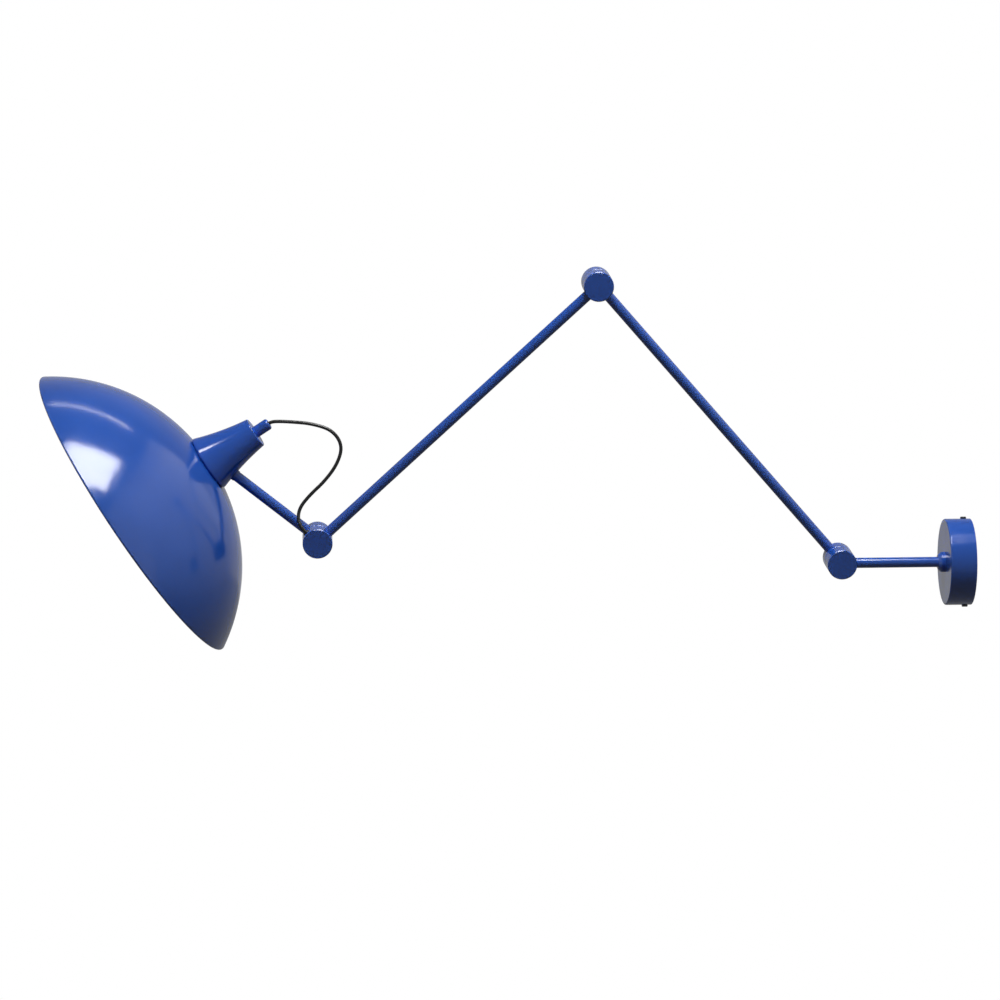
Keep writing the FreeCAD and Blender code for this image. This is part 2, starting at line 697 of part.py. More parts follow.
parts["shade"] = shade()
parts["cup"] = cup()
parts["swivel_boss"] = swivel_boss()
parts["swivel_saddle"] = swivel_saddle()
parts["swivel_pin"] = swivel_pin()
parts["swivel_spring_washer"] = ring(
    short_line, SWIVEL_PIN_R, SADDLE_R - 0.6, SADDLE_TOP + RUNNING,
    SWIVEL_PIN_END - SWIVEL_NUT)
parts["swivel_nut"] = hexagon(short_line, SWIVEL_NUT_ACROSS, SWIVEL_PIN_R,
                              SWIVEL_PIN_END - SWIVEL_NUT, SWIVEL_PIN_END)


# ---- lampholder, shade ring and bulb --------------------------------------------------------------------
GRIP_FOOT = CUP_BACK
GRIP_END = CUP_BACK + GRIP_LENGTH
NIPPLE_TOP = CUP_BACK + NIPPLE_LENGTH / 2
CAP_TOP = CUP_BACK - CUP_WALL - 0.1
CORE_LOW = HOLDER_TOP - CORE_SINK


def cord_grip():
    """Turned grip: threaded on the nipple, rounded end, bored for the cord."""
    return turned(head_line, [
        (NIPPLE_R, GRIP_FOOT),
        (GRIP_R, GRIP_FOOT),
        (GRIP_R, GRIP_END, GRIP_END_R),
        (CORD_R + 0.1, GRIP_END, 0.4),
        (CORD_R + 0.1, NIPPLE_TOP + 1),
        (NIPPLE_R, NIPPLE_TOP + 1)])


def lampholder_cap():
    """Moulded cap that takes the nipple and closes the lampholder's back."""
    neck = CAP_TOP - HOLDER_NECK
    shoulder = CAP_TOP - HOLDER_SHOULDER
    side = HOLDER_TOP + HOLDER_CAP_SIDE
    inside = neck - HOLDER_WALL
    return turned(head_line, [
        (NIPPLE_R, CAP_TOP),
        (HOLDER_NECK_R, CAP_TOP),
        (HOLDER_NECK_R, neck),
        (HOLDER_SHOULDER_R, shoulder, HOLDER_CAP_EDGE_R),
        (HOLDER_R, side, HOLDER_CAP_EDGE_R),
        (HOLDER_R, HOLDER_TOP),
        (HOLDER_R - HOLDER_WALL, HOLDER_TOP),
        (HOLDER_R - HOLDER_WALL, side, HOLDER_CAP_EDGE_R - 1),
        (HOLDER_SHOULDER_R - HOLDER_WALL, shoulder - 1, HOLDER_CAP_EDGE_R - 1),
        (HOLDER_NECK_R - HOLDER_WALL, inside),
        (NIPPLE_R, inside)])


def lampholder_body():
    """Sleeve round the screw shell, with a wider threaded skirt that carries the shade ring."""
    bore = HOLDER_R - HOLDER_WALL
    return turned(head_line, [
        (bore, HOLDER_TOP),
        (HOLDER_R, HOLDER_TOP),
        (HOLDER_R, HOLDER_SKIRT_TOP, 1.0),
        (HOLDER_SKIRT_R, HOLDER_SKIRT_TOP, 0.8),
        (HOLDER_SKIRT_R, HOLDER_MOUTH, 0.8),
        (HOLDER_SKIRT_R - SKIRT_WALL, HOLDER_MOUTH, 0.8),
        (HOLDER_SKIRT_R - SKIRT_WALL, HOLDER_SKIRT_TOP - 3.0),
        (bore, HOLDER_SKIRT_TOP - 1.0)])


def lampholder_core():
    """Ceramic disc that carries the screw shell and the contact."""
    disc = rod(head_line, SHELL_R, CORE_LOW, CORE_LOW + CORE_THICK)
    for side in (-1, 1):
        well = Axis(head_line.at(0, side * SHELL_R * 0.43), head_line.along)
        disc = disc.cut(rod(well, CORE_WELL_R, CORE_LOW - 1, CORE_LOW + CORE_THICK + 1))
    return disc


def thread_rings(mean, low, high):
    """A coarse round thread's outline, drawn as stacked rings: (radius, height) pairs."""
    count = int((high - low) / (THREAD_PITCH / 2))
    return [(mean + (THREAD_WAVE if step % 2 else -THREAD_WAVE), low + step * THREAD_PITCH / 2)
            for step in range(count)]


def socket_shell():
    """Rolled brass shell, open at both ends."""
    outside = thread_rings(SHELL_R - THREAD_WAVE, CORE_LOW - SHELL_LENGTH, CORE_LOW)
    outside.append((SHELL_R - THREAD_WAVE, CORE_LOW))
    inside = [(radius - SHELL_WALL, height) for radius, height in reversed(outside)]
    return turned(head_line, outside + inside)


def centre_contact():
    """Sprung brass strip under the core that meets the bulb's end."""
    edge = -CONTACT_WIDTH / 2
    root = CORE_LOW - CONTACT_STRIP
    outline = [(-3.0, CORE_LOW), (7.0, CORE_LOW), (7.0, root), (1.5, CONTACT), (-2.5, CONTACT),
               (-2.5, CONTACT + CONTACT_STRIP), (1.2, CONTACT + CONTACT_STRIP), (4.6, root),
               (-3.0, root)]
    points = [V(out, edge, height) for out, height in outline]
    spring = Part.Face(Part.makePolygon(points + points[:1])).extrude(V(0, CONTACT_WIDTH, 0))
    placement = FreeCAD.Placement(head_line.start, FreeCAD.Rotation(V(0, 0, 1), head_line.along))
    spring.Placement = placement.multiply(spring.Placement)
    return spring


def shade_ring():
    """Threaded ring that clamps the shade up against the cup from inside."""
    bevel = 1.5
    bore = HOLDER_SKIRT_R + 0.1
    groove_r = 1.6
    groove_out = RING_R + groove_r / 2
    top = shade_inside_height(RING_R - bevel) - 0.1
    blank = turned(head_line, [
        (bore, top),
        (RING_R - bevel, top),
        (RING_R, top - bevel),
        (RING_R, top - RING_DEPTH, 1.0),
        (bore, top - RING_DEPTH)])
    for step in range(RING_GROOVES):
        turn = 2 * math.pi * step / RING_GROOVES
        foot = head_line.at(0, groove_out * math.cos(turn), groove_out * math.sin(turn))
        groove = Axis(foot, head_line.along)
        blank = blank.cut(rod(groove, groove_r, top - RING_DEPTH - 1, top + 1))
    return blank


def shade_inside_height(radius):
    crown = SHADE_CROWN_R - SHADE_WALL
    return SHADE_APEX - SHADE_CROWN_R + math.sqrt(crown ** 2 - radius ** 2)


def bulb_cap():
    """Bulb's screw cap: rolled thread, insulated end and solder contact."""
    low = CONTACT - BULB_CAP_LENGTH
    top = CONTACT - 4.5
    mean = SHELL_R - 2 * THREAD_WAVE - SHELL_WALL - THREAD_PLAY
    side = thread_rings(mean - THREAD_WAVE, low, top)
    return turned(head_line, [(0, low)] + side + [
        (mean - 1, top),
        (8.0, CONTACT - 2.0),
        (4.8, CONTACT - 1.2),
        (4.8, CONTACT - 0.4),
        (3.5, CONTACT - RUNNING),
        (0, CONTACT - RUNNING)])


def globe(inset):
    """The bulb filled solid: a ball that passes into a neck; with an inset, the space inside."""
    centre = CONTACT - BULB_LENGTH + BULB_R
    radius = BULB_R - inset
    join_turn = math.radians(BULB_JOIN_ANGLE)

    def on_ball(turn):
        return head_line.at(centre + radius * math.cos(turn), radius * math.sin(turn))

    tip = on_ball(math.pi)
    join = on_ball(join_turn)
    ball = Part.Arc(tip, on_ball((math.pi + join_turn) / 2), join).toShape()
    root = head_line.at(CONTACT - BULB_CAP_LENGTH, BULB_NECK_R - inset)
    reach = join.distanceToPoint(root)
    leave = head_line.along * math.sin(join_turn) - head_line.side * math.cos(join_turn)
    shoulder = Part.BezierCurve()
    shoulder.setPoles([join, join + leave * (0.42 * reach),
                       root - head_line.along * (0.4 * reach), root])
    ends = Part.makePolygon([root, head_line.at(CONTACT - BULB_CAP_LENGTH), tip])
    face = Part.Face(Part.Wire([ball, shoulder.toShape()] + ends.Edges))
    return face.revolve(head_line.start, head_line.along, 360)


def bulb_glass():
    """Opal glass, open where it stands on its cap."""
    return globe(0).cut(globe(BULB_GLASS))


parts["cord_grip"] = cord_grip()
parts["threaded_nipple"] = ring(head_line, NIPPLE_BORE_R, NIPPLE_R,
                                NIPPLE_TOP - NIPPLE_LENGTH, NIPPLE_TOP)
parts["lampholder_cap"] = lampholder_cap()
parts["lampholder_body"] = lampholder_body()
parts["lampholder_core"] = lampholder_core()
parts["socket_shell"] = socket_shell()
parts["centre_contact"] = centre_contact()
parts["shade_ring"] = shade_ring()
parts["bulb_cap"] = bulb_cap()
parts["bulb_glass"] = bulb_glass()


# ---- cable inside the arms ---------------------------------------------------------------------------------
FRONT_CABLE_END = PARTING - BACK * (CABLE_GAP / 2)
REAR_CABLE_END = PARTING + BACK * (CABLE_GAP / 2)


def cable_in_wall_tube():
    points = [V(-WALL_TUBE_END, 0, 0), wall_pivot, wall_pivot + FRONT_CABLE_END]
    return swept("cable_wall_tube", points, [0, ELBOW_R, 0])


def cable_in_rear_arm():
    points = [wall_pivot + REAR_CABLE_END, wall_pivot + REAR_PLANE, elbow_pivot + REAR_PLANE,
              elbow_pivot + REAR_CABLE_END]
    return swept("cable_rear_arm", points, [0, ELBOW_R, ELBOW_R, 0])


def cable_in_front_arm():
    points = [elbow_pivot + FRONT_CABLE_END, elbow_pivot, head_pivot, exit_line.at(CORD_START)]
    return swept("cable_front_arm", points, [0, ELBOW_R, EXIT_BEND_R, 0])


def supply_lead():
    """From the terminal block's middle pole round behind to the wall tube's end."""
    block_side = BLOCK_CENTRE_Y - BLOCK_SIZE.y / 2
    depth = -BRACKET_SHEET - BLOCK_SIZE.x / 2
    behind = -4.6
    points = [V(-WALL_TUBE_END, 0, 0), V(behind, 0, 0), V(behind, block_side - 8.5, 0),
              V(depth, block_side - 5.0, 0), V(depth, block_side, 0)]
    return swept("supply_lead", points, [0, 4.0, 4.0, 3.6, 0])


def lampholder_cable():
    points = [head_line.at(GRIP_END), head_line.at(HOLDER_TOP + 8.0)]
    return swept("lampholder_cable", points, [0, 0])


def grommet():
    """Black bush in the cord hole, with a thin flange outside."""
    return turned(exit_line, [
        (CORD_R, CAVITY_R),
        (GROMMET_R, CAVITY_R),
        (GROMMET_R, GROMMET_SEAT),
        (GROMMET_FLANGE_R, GROMMET_SEAT),
        (GROMMET_FLANGE_R, KNUCKLE_R + GROMMET_PROUD, 0.4),
        (CORD_R, KNUCKLE_R + GROMMET_PROUD)])


CORD_START = KNUCKLE_R + GROMMET_PROUD

parts["cable_wall_tube"] = cable_in_wall_tube()
parts["cable_rear_arm"] = cable_in_rear_arm()
parts["cable_front_arm"] = cable_in_front_arm()
parts["supply_lead"] = supply_lead()
parts["lampholder_cable"] = lampholder_cable()
parts["cord_grommet"] = grommet()


# ---- free cord ------------------------------------------------------------------------------------------------
# Two stretches that meet on the loop's way back: the upper one leaves the cord grip, the lower
# one goes into the head knuckle. The points between their ends are chosen by hand.
UPPER_CORD = [
    head_line.at(GRIP_END),
    head_line.at(GRIP_END + 2.6),
    V(-711.0, 18.6, 150.6),
    V(-697.0, 17.4, 150.1),
    V(-677.0, 14.8, 148.6),
    V(-656.0, 12.2, 142.2),
    V(-645.8, 10.4, 126.4),
    V(-651.2, 9.6, 107.6)]
LOWER_CORD = [
    V(-664.3, 9.4, 89.8),
    V(-679.4, 9.4, 75.8),
    V(-690.0, 8.6, 63.0),
    V(-692.2, 5.0, 52.3),
    exit_line.at(CORD_START + 6.5),
    exit_line.at(CORD_START)]
CORD_MEET = (UPPER_CORD[-1] + LOWER_CORD[0]) * 0.5


def free_cord(name, points):
    return swept(name, points, free_bends(points))


parts["cord_upper"] = free_cord("cord_upper", UPPER_CORD + [CORD_MEET])
parts["cord_lower"] = free_cord("cord_lower", [CORD_MEET] + LOWER_CORD)


# ---- files --------------------------------------------------------------------------------------------------
os.makedirs("parts", exist_ok=True)
for name, shape in parts.items():
    shape.exportStep("parts/%s.step" % name)
print("%d nodes" % len(parts))
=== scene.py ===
# %% [markdown]
# # Articulating wall lamp
# The engineering model is loaded first, and nothing in it is moved. This script adds the free cord,
# gives every part its finish, and sets up a small white studio with the camera of the photograph.
# All lengths are metres, the wall is the plane x = 0, and +Z is up.

# %% Load the model
import json
import math

import bpy
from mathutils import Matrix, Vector


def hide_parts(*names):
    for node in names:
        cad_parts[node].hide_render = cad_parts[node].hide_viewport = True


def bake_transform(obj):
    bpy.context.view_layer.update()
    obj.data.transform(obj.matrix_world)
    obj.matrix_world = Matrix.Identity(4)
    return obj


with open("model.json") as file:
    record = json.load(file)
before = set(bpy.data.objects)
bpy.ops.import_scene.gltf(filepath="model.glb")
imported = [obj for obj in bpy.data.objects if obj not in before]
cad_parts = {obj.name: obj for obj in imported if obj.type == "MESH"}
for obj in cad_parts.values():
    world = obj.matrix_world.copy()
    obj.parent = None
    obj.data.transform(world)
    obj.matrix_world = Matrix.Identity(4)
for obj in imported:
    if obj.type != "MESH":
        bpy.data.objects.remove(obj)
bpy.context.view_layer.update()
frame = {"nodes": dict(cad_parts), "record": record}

# %% [markdown]
# ## Camera
# A photograph taken from almost four metres with a long lens looks nearly flat. The camera's place
# and tilt were found from straight edges and circles of known size, so it needs no shift.

# %% Camera
CAMERA_PLACE = (-0.6875, -3.8396, 0.8602)
CAMERA_TURN = 3.009          # degrees towards +X
CAMERA_DIP = 11.612          # degrees below the horizon
LENS = 138.28                # millimetres
SENSOR_WIDTH = 36.0          # millimetres

camera_data = bpy.data.cameras.new("camera")
camera_data.lens = LENS
camera_data.sensor_width = SENSOR_WIDTH
camera = bpy.data.objects.new("camera", camera_data)
camera.location = CAMERA_PLACE
camera.rotation_euler = (math.radians(90 - CAMERA_DIP), 0, math.radians(-CAMERA_TURN))
bpy.context.scene.collection.objects.link(camera)
bpy.context.scene.camera = camera
print("camera at", CAMERA_PLACE)

# %% [markdown]
# ## Nodes
# Finishes, the cord's skin and the studio are all made of nodes. Each node would take several
# lines to make, set and link, so small helpers keep the later cells short. Colours are given as
# they look on a screen, and turned into the shader's own numbers.

# %% Node helpers
def linear(red, green, blue):
    """A colour given as it looks on a screen, 0 to 255, as the shader needs it."""
    def channel(value):
        value /= 255
        return value / 12.92 if value <= 0.04045 else ((value + 0.055) / 1.055) ** 2.4
    return channel(red), channel(green), channel(blue), 1.0


def add_node(tree, kind, inputs=None, **settings):
    """A node with its settings, and its inputs either linked or set."""
    node = tree.nodes.new(kind)
    for name, value in settings.items():
        setattr(node, name, value)
    for name, value in (inputs or {}).items():
        if isinstance(value, bpy.types.NodeSocket):
            tree.links.new(value, node.inputs[name])
        else:
            node.inputs[name].default_value = value
    return node


def larger(tree, first, second):
    """The larger of two numbers."""
    return add_node(tree, "ShaderNodeMath", {0: first, 1: second},
                    operation="MAXIMUM").outputs["Value"]


print("screen grey 128 is", round(linear(128, 128, 128)[0], 3), "in the shader")

# %% [markdown]
# ### Patterns
# One flat colour looks unreal on any surface. So every finish starts from the piece's own
# coordinates, which keep the pattern on the piece when the arm moves, and mixes soft noise into
# colour, roughness and height.

# %% Pattern helpers
WHITE = (1, 1, 1, 1)
finishes = {}


def start_finish(name):
    """A new material: its tree, its main shader and the piece's own coordinates."""
    material = bpy.data.materials.new(name)
    material.use_nodes = True
    tree = material.node_tree
    place = add_node(tree, "ShaderNodeTexCoord").outputs["Object"]
    return material, tree, tree.nodes["Principled BSDF"], place


def noise(tree, place, scale, detail=2.0, roughness=0.5):
    """Soft clouds: the scale counts them per metre, the detail adds finer ones."""
    return add_node(tree, "ShaderNodeTexNoise", {
        "Vector": place, "Scale": scale, "Detail": detail, "Roughness": roughness}).outputs["Fac"]


def spread(tree, value, low, high, start=0.3, end=0.7):
    """Maps a pattern's values from start to end onto low to high, and stops there."""
    return add_node(tree, "ShaderNodeMapRange", {
        "Value": value, "From Min": start, "From Max": end,
        "To Min": low, "To Max": high}).outputs["Result"]


def two_tone(tree, value, first, second):
    """The first colour where the pattern is 0, the second where it is 1."""
    mix = add_node(tree, "ShaderNodeMix", data_type="RGBA")
    tree.links.new(value, mix.inputs[0])
    for socket, colour in ((mix.inputs[6], first), (mix.inputs[7], second)):
        if isinstance(colour, bpy.types.NodeSocket):
            tree.links.new(colour, socket)
        else:
            socket.default_value = colour
    return mix.outputs[2]


def plug(tree, shader, **sources):
    """Links patterns to the main shader's colour and roughness."""
    sockets = {"colour": "Base Color", "roughness": "Roughness"}
    for name, source in sources.items():
        tree.links.new(source, shader.inputs[sockets[name]])


def relief(tree, shader, height, depth):
    """Relief of the given depth in metres."""
    node = add_node(tree, "ShaderNodeBump", {"Height": height, "Strength": 1.0, "Distance": depth})
    tree.links.new(node.outputs["Normal"], shader.inputs["Normal"])


def keep_finish(slot, material):
    """Keeps a finish under the name of its slot."""
    finishes[slot] = material
    print(slot, "takes", len(material.node_tree.nodes), "nodes")


print("pattern helpers ready")

# %% [markdown]
# ## Free cord
# The cord leaves the grip behind the cup, swings over to the right, comes back past the short arm
# and goes into the last knuckle. A NURBS curve through a few given points gives its stiff,
# even bends. It is made as two stretches that meet on the way back, and each stretch crosses one
# joint only: the upper one the head's turn, the lower one the arm's tilt.
# Only the middle line is kept as a mesh. Its round skin is put on by a modifier that follows the
# line, so the cord keeps its thickness wherever the line goes.

# %% Cord helpers
CORD_DIAMETER = 0.0036
CORD_SIDES = 20
STEPS_PER_POINT = 14


def smooth_path(points):
    """Points, close together, along a NURBS curve with these control points."""
    curve = bpy.data.curves.new("smooth_path", "CURVE")
    curve.dimensions = "3D"
    curve.resolution_u = STEPS_PER_POINT
    spline = curve.splines.new("NURBS")
    spline.points.add(len(points) - 1)
    for target, point in zip(spline.points, points):
        target.co = (*point, 1.0)
    spline.order_u = 3
    spline.use_endpoint_u = True
    line = bpy.data.objects.new("smooth_path", curve)
    bpy.context.scene.collection.objects.link(line)
    trace = bpy.data.meshes.new_from_object(line)
    path = [tuple(vertex.co) for vertex in trace.vertices]
    bpy.data.objects.remove(line)
    return path


def round_skin(diameter, finish):
    """Nodes that turn a bare line into a closed round cord."""
    group = bpy.data.node_groups.new("cord_skin", "GeometryNodeTree")
    group.interface.new_socket("Line", in_out="INPUT", socket_type="NodeSocketGeometry")
    group.interface.new_socket("Cord", in_out="OUTPUT", socket_type="NodeSocketGeometry")
    line = add_node(group, "NodeGroupInput").outputs["Line"]
    curve = add_node(group, "GeometryNodeMeshToCurve", {"Mesh": line}).outputs["Curve"]
    circle = add_node(group, "GeometryNodeCurvePrimitiveCircle",
                      {"Resolution": CORD_SIDES, "Radius": diameter / 2}).outputs["Curve"]
    tube = add_node(group, "GeometryNodeCurveToMesh",
                    {"Curve": curve, "Profile Curve": circle, "Fill Caps": True}).outputs["Mesh"]
    smooth = add_node(group, "GeometryNodeSetShadeSmooth", {"Geometry": tube}).outputs["Geometry"]
    dressed = add_node(group, "GeometryNodeSetMaterial",
                       {"Geometry": smooth, "Material": finish}).outputs["Geometry"]
    add_node(group, "NodeGroupOutput", {"Cord": dressed})
    return group


def cord_stretch(name, points, skin):
    """A mesh line with its skin, the path that it follows, and its length."""
    path = smooth_path(points)
    mesh = bpy.data.meshes.new(name)
    mesh.from_pydata(path, [(start, start + 1) for start in range(len(path) - 1)], [])
    cord = bpy.data.objects.new(name, mesh)
    bpy.context.scene.collection.objects.link(cord)
    cord.modifiers.new("skin", "NODES").node_group = skin
    length = sum((Vector(a) - Vector(b)).length for a, b in zip(path, path[1:]))
    print(name, "is", round(length * 1000, 1), "mm long")
    return cord, path, length


print("cord", CORD_DIAMETER * 1000, "mm thick, with", CORD_SIDES, "sides")

# %% [markdown]
# ### The cord's sheath
# The sheath is smooth black plastic. A perfectly even black would look like a hole in the picture,
# so the colour turns a little paler where hands have rubbed it, and its sheen changes slowly along
# the cord.

# %% Cord finish
CORD_BLACK = linear(8, 8, 8)
CORD_RUBBED = linear(24, 25, 21)
CORD_ROUGHNESS = (0.26, 0.40)
CORD_GRAIN = 0.00002


def black_cord():
    """Smooth black sheath with a soft sheen."""
    material, tree, shader, place = start_finish("black_cord_finish")
    handled = noise(tree, place, scale=60.0, detail=4.0, roughness=0.6)
    sheen = noise(tree, place, scale=140.0)
    plug(tree, shader, colour=two_tone(tree, spread(tree, handled, 0, 1), CORD_BLACK, CORD_RUBBED),
         roughness=spread(tree, sheen, *CORD_ROUGHNESS))
    relief(tree, shader, noise(tree, place, scale=300.0), CORD_GRAIN)
    return material


keep_finish("black_cord", black_cord())
cord_skin = round_skin(CORD_DIAMETER, finishes["black_cord"])

# %% [markdown]
# ### Upper stretch
# It comes straight out of the grip, as a stiff cord does, and arches over to the right. It runs
# from the grip to the point where the lower stretch begins.

# %% Upper stretch
GRIP_END = (-0.72032, 0.02000, 0.14842)
CORD_MEET = (-0.65775, 0.00950, 0.09870)

upper_points = [
    GRIP_END,
    (-0.71815, 0.02000, 0.14985),
    (-0.71100, 0.01860, 0.15060),
    (-0.69700, 0.01740, 0.15010),
    (-0.67700, 0.01480, 0.14860),
    (-0.65600, 0.01220, 0.14220),
    (-0.64580, 0.01040, 0.12640),
    (-0.65120, 0.00960, 0.10760),
    CORD_MEET]
upper_cord, upper_path, upper_length = cord_stretch("cord_upper_run", upper_points, cord_skin)
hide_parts("cord_upper")
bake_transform(upper_cord)

# %% [markdown]
# ### Lower stretch
# It goes on in the same direction, comes down beside the short arm and turns into the hole in the
# side of the last knuckle, in line with the hole.

# %% Lower stretch
CORD_HOLE = (-0.68431, 0.00000, 0.03883)

lower_points = [
    CORD_MEET,
    (-0.66430, 0.00940, 0.08980),
    (-0.67940, 0.00940, 0.07580),
    (-0.69000, 0.00860, 0.06300),
    (-0.69220, 0.00500, 0.05230),
    (-0.68918, 0.00000, 0.04313),
    CORD_HOLE]
lower_cord, lower_path, lower_length = cord_stretch("cord_lower_run", lower_points, cord_skin)
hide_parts("cord_lower")
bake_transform(lower_cord)

# %% [markdown]
# ## Finishes
# The parts need no new shapes, only finishes. There is one for each thing that they are made of,
# and each is a small graph of nodes.

# %% [markdown]
# ### Stoved blue enamel
# The cover, the tubes, the knuckles, the cup and the dome wear one glossy blue enamel, sprayed and
# baked. It flows nearly flat: the peel is only a few thousandths of a millimetre high and a
# few millimetres wide, which is enough to bend the edge of a reflected window. The colour drifts
# slowly where the coat is thicker, and the shine is a little duller where hands have wiped it.

# %% Blue paint
PAINT_THIN = linear(34, 84, 178)
PAINT_THICK = linear(28, 76, 166)
PAINT_ROUGHNESS = (0.11, 0.18)
PEEL_DEPTH = 0.0000025


def enamel(name):
    """The glossy coat, with its colour returned and not yet plugged in."""
    material, tree, shader, place = start_finish(name)
    drift = noise(tree, place, scale=9.0, detail=3.0)
    colour = two_tone(tree, spread(tree, drift, 0, 1), PAINT_THIN, PAINT_THICK)
    wiped = noise(tree, place, scale=38.0, detail=4.0, roughness=0.6)
    plug(tree, shader, roughness=spread(tree, wiped, *PAINT_ROUGHNESS))
    relief(tree, shader, noise(tree, place, scale=150.0, detail=1.0), PEEL_DEPTH)
    return material, tree, shader, place, colour


def blue_paint():
    """Blue on every side."""
    material, tree, shader, place, colour = enamel("blue_paint_finish")
    plug(tree, shader, colour=colour)
    return material


keep_finish("blue_paint", blue_paint())

# %% [markdown]
# ### The dome's two sides
# Outside the dome wears the same blue as the arm. Inside, where the photograph doesn't look, it is
# taken to be white, as such shades are, to throw the light back. The side is told by the skin's
# own direction: inside, it faces the middle of the dome's sphere.

# %% Dome paint
DOME_MIDDLE = (-0.95365, 0.02000, -0.00455)
FACING_INSIDE = -0.75        # -1 looks straight at the middle, 1 straight away from it
FACING_OUTSIDE = -0.70
WHITE_PAINT = linear(238, 237, 231)
WHITE_AGED = linear(230, 228, 219)


def dome_paint():
    """Blue outside, white inside."""
    material, tree, shader, place, blue = enamel("dome_paint_finish")
    normal = add_node(tree, "ShaderNodeTexCoord").outputs["Normal"]
    offset = add_node(tree, "ShaderNodeVectorMath", {0: place, 1: DOME_MIDDLE},
                      operation="SUBTRACT").outputs["Vector"]
    outwards = add_node(tree, "ShaderNodeVectorMath", {0: offset},
                        operation="NORMALIZE").outputs["Vector"]
    facing = add_node(tree, "ShaderNodeVectorMath", {0: outwards, 1: normal},
                      operation="DOT_PRODUCT").outputs["Value"]
    outside = spread(tree, facing, 0, 1, FACING_INSIDE, FACING_OUTSIDE)
    aged = noise(tree, place, scale=14.0, detail=3.0)
    white = two_tone(tree, spread(tree, aged, 0, 1), WHITE_PAINT, WHITE_AGED)
    plug(tree, shader, colour=two_tone(tree, outside, white, blue))
    return material


keep_finish("dome_paint", dome_paint())

# %% [markdown]
# ### Bare metals
# The pins, nuts, washers and the bracket are steel with a thin bright zinc coat, which shows a
# faint crystal pattern and fine scratches. Socket and clamps are brass, drawn and then
# slightly tarnished. The cover's two side screws are blackened steel, so dark and satin.

# %% Metals
SCRATCH_STRETCH = (0.08, 1.0, 1.0)
SCRATCH_DEPTH = 0.000004
SCREW_BLACK = linear(16, 16, 18)
SCREW_RUBBED = linear(36, 36, 40)
SCREW_ROUGHNESS = (0.30, 0.45)
SCREW_GRAIN = 0.000008


def plated(name, bright, dull, shine, grain):
    """Metal with patches of two tones and fine scratches along one direction."""
    material, tree, shader, place = start_finish(name)
    patches = noise(tree, place, scale=55.0, detail=4.0, roughness=0.6)
    drawn = add_node(tree, "ShaderNodeMapping", {"Vector": place, "Scale": SCRATCH_STRETCH})
    scratches = noise(tree, drawn.outputs["Vector"], scale=grain, detail=3.0)
    plug(tree, shader, colour=two_tone(tree, spread(tree, patches, 0, 1), bright, dull),
         roughness=spread(tree, scratches, *shine))
    relief(tree, shader, scratches, SCRATCH_DEPTH)
    shader.inputs["Metallic"].default_value = 1.0
    return material


def black_steel():
    """Blackened screws: a satin skin, slightly paler where a driver has rubbed it."""
    material, tree, shader, place = start_finish("black_steel_finish")
    rubbed = noise(tree, place, scale=260.0, detail=3.0)
    plug(tree, shader, colour=two_tone(tree, spread(tree, rubbed, 0, 1), SCREW_BLACK, SCREW_RUBBED),
         roughness=spread(tree, rubbed, *SCREW_ROUGHNESS))
    relief(tree, shader, noise(tree, place, scale=900.0), SCREW_GRAIN)
    return material


keep_finish("zinc_steel", plated("zinc_steel_finish", linear(204, 207, 210), linear(186, 189, 194),
                                 shine=(0.20, 0.36), grain=420.0))
keep_finish("brass", plated("brass_finish", linear(222, 186, 116), linear(196, 156, 88),
                            shine=(0.22, 0.38), grain=380.0))
keep_finish("black_steel", black_steel())

# %% [markdown]
# ### Moulded, fired and pressed pieces
# The lampholder is a hard black moulding with a soft gloss, the terminal block a pale one. Its
# core is fired ceramic, left unglazed, so it is matt and finely speckled. The friction discs
# are pressed from brown fibre, whose strands still show.

# %% Mouldings, ceramic and fibre
MOULD_GRAIN = 0.000006
CERAMIC_PALE = linear(232, 228, 216)
CERAMIC_SPECK = linear(196, 188, 170)
CERAMIC_ROUGHNESS = (0.55, 0.75)
CERAMIC_GRAIN = 0.00003
FIBRE_DARK = linear(98, 64, 40)
FIBRE_PALE = linear(140, 98, 62)
FIBRE_ROUGHNESS = (0.7, 0.9)
FIBRE_STRETCH = (0.2, 1.0, 1.6)
FIBRE_GRAIN = 0.00006


def moulding(name, first, second, shine):
    """Moulded plastic: flow marks in the tone and the gloss, and an even fine texture."""
    material, tree, shader, place = start_finish(name)
    flow = noise(tree, place, scale=32.0, detail=3.0, roughness=0.55)
    plug(tree, shader, colour=two_tone(tree, spread(tree, flow, 0, 1), first, second),
         roughness=spread(tree, flow, *shine))
    relief(tree, shader, noise(tree, place, scale=700.0), MOULD_GRAIN)
    return material


def ceramic():
    """Pale and matt, with specks a millimetre apart."""
    material, tree, shader, place = start_finish("ceramic_finish")
    specks = noise(tree, place, scale=900.0)
    speckled = two_tone(tree, spread(tree, specks, 0, 1, start=0.55, end=0.75), CERAMIC_PALE,
                        CERAMIC_SPECK)
    plug(tree, shader, colour=speckled,
         roughness=spread(tree, noise(tree, place, scale=90.0), *CERAMIC_ROUGHNESS))
    relief(tree, shader, specks, CERAMIC_GRAIN)
    return material


def friction_fibre():
    """Brown strands, stretched along one direction by the press."""
    material, tree, shader, place = start_finish("friction_fibre_finish")
    lying = add_node(tree, "ShaderNodeMapping", {"Vector": place, "Scale": FIBRE_STRETCH})
    strands = noise(tree, lying.outputs["Vector"], scale=1300.0, detail=4.0, roughness=0.7)
    plug(tree, shader, colour=two_tone(tree, spread(tree, strands, 0, 1), FIBRE_DARK, FIBRE_PALE),
         roughness=spread(tree, strands, *FIBRE_ROUGHNESS))
    relief(tree, shader, strands, FIBRE_GRAIN)
    return material


